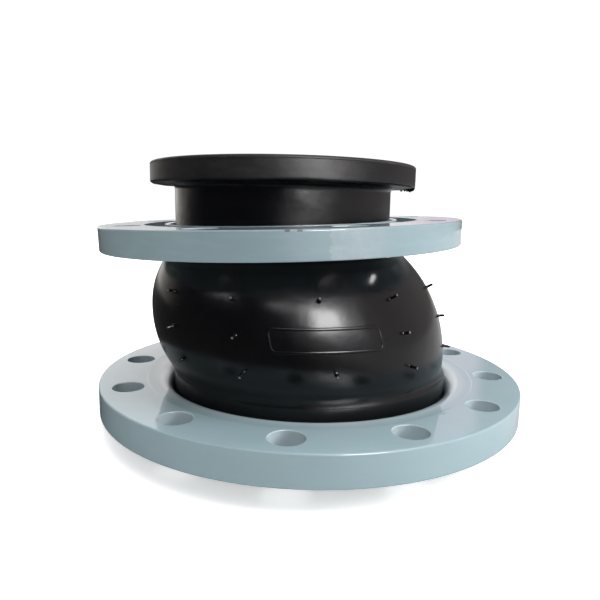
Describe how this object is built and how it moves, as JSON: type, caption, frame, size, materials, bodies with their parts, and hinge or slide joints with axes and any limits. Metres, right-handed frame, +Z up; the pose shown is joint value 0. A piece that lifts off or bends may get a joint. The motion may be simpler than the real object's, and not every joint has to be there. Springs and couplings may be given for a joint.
{
  "type": "rubber expansion joint",
  "caption": "Eccentric reducing rubber expansion joint: a single moulded arch between two lipped ends, each with a loose drilled steel flange, larger end down.",
  "frame": {"origin": "centre of the big end's sealing face, which is the object's lowest plane", "axes": "+Z up along the big end's axis towards the small end; the small end's axis is parallel and offset 23 mm towards -X; +Y points to the side away from the usual viewer"},
  "size_m": [0.33, 0.33, 0.2],
  "materials": {
    "flange_paint": "glossy light blue-grey enamel over carbon steel",
    "cover_rubber": "glossy black moulded rubber",
    "liner_rubber": "satin black rubber",
    "middle_rubber": "matte black rubber, hidden",
    "filler_rubber": "matte black rubber, hidden",
    "nylon_cord": "rubberised nylon tyre cord, hidden",
    "bead_wrap_fabric": "rubberised square-woven fabric, hidden",
    "bead_steel": "bronze-coated high tensile wire, hidden"
  },
  "bodies": {
    "lower_end": {"outer_cover": "cover_rubber", "inner_liner": "liner_rubber", "lower_bead_ring": "bead_steel", "lower_bead_wrap": "bead_wrap_fabric", "lower_lip_filler": "filler_rubber"},
    "arch_lower": {"cord_ply_1": "nylon_cord", "cord_ply_2": "nylon_cord"},
    "arch_upper": {"cord_ply_3": "nylon_cord", "cord_ply_4": "nylon_cord", "middle_rubber": "middle_rubber"},
    "upper_end": {"upper_bead_ring": "bead_steel", "upper_bead_wrap": "bead_wrap_fabric", "upper_lip_filler": "filler_rubber"},
    "lower_flange": {"lower_flange": "flange_paint"},
    "upper_flange": {"upper_flange": "flange_paint"}
  },
  "joints": [
    {"name": "axial_travel", "type": "slide", "parent": "lower_end", "child": "arch_lower", "axis": [0, 0, 1], "range_m": [-0.015, 0.008], "stiffness_N_per_m": 60000, "deforming": ["outer_cover", "inner_liner", "middle_rubber", "cord_ply_1", "cord_ply_2", "cord_ply_3", "cord_ply_4"]},
    {"name": "angular_bend", "type": "hinge", "parent": "arch_lower", "child": "arch_upper", "pos_m": [-0.0125, 0, 0.0915], "axis": [0, 1, 0], "range_deg": [-10, 10], "stiffness_Nm_per_rad": 150, "deforming": ["outer_cover", "inner_liner", "middle_rubber", "cord_ply_1", "cord_ply_2", "cord_ply_3", "cord_ply_4"]},
    {"name": "side_travel", "type": "slide", "parent": "arch_upper", "child": "upper_end", "axis": [1, 0, 0], "range_m": [-0.01, 0.01], "stiffness_N_per_m": 60000, "deforming": ["outer_cover", "inner_liner", "middle_rubber", "cord_ply_1", "cord_ply_2", "cord_ply_3", "cord_ply_4"]},
    {"name": "lower_flange_swivel", "type": "hinge", "parent": "lower_end", "child": "lower_flange", "pos_m": [0, 0, 0.0265], "axis": [0, 0, 1], "continuous": true},
    {"name": "upper_flange_slide", "type": "slide", "parent": "upper_end", "child": "upper_flange", "axis": [0, 0, 1], "range_m": [0, 0.02]}
  ]
}
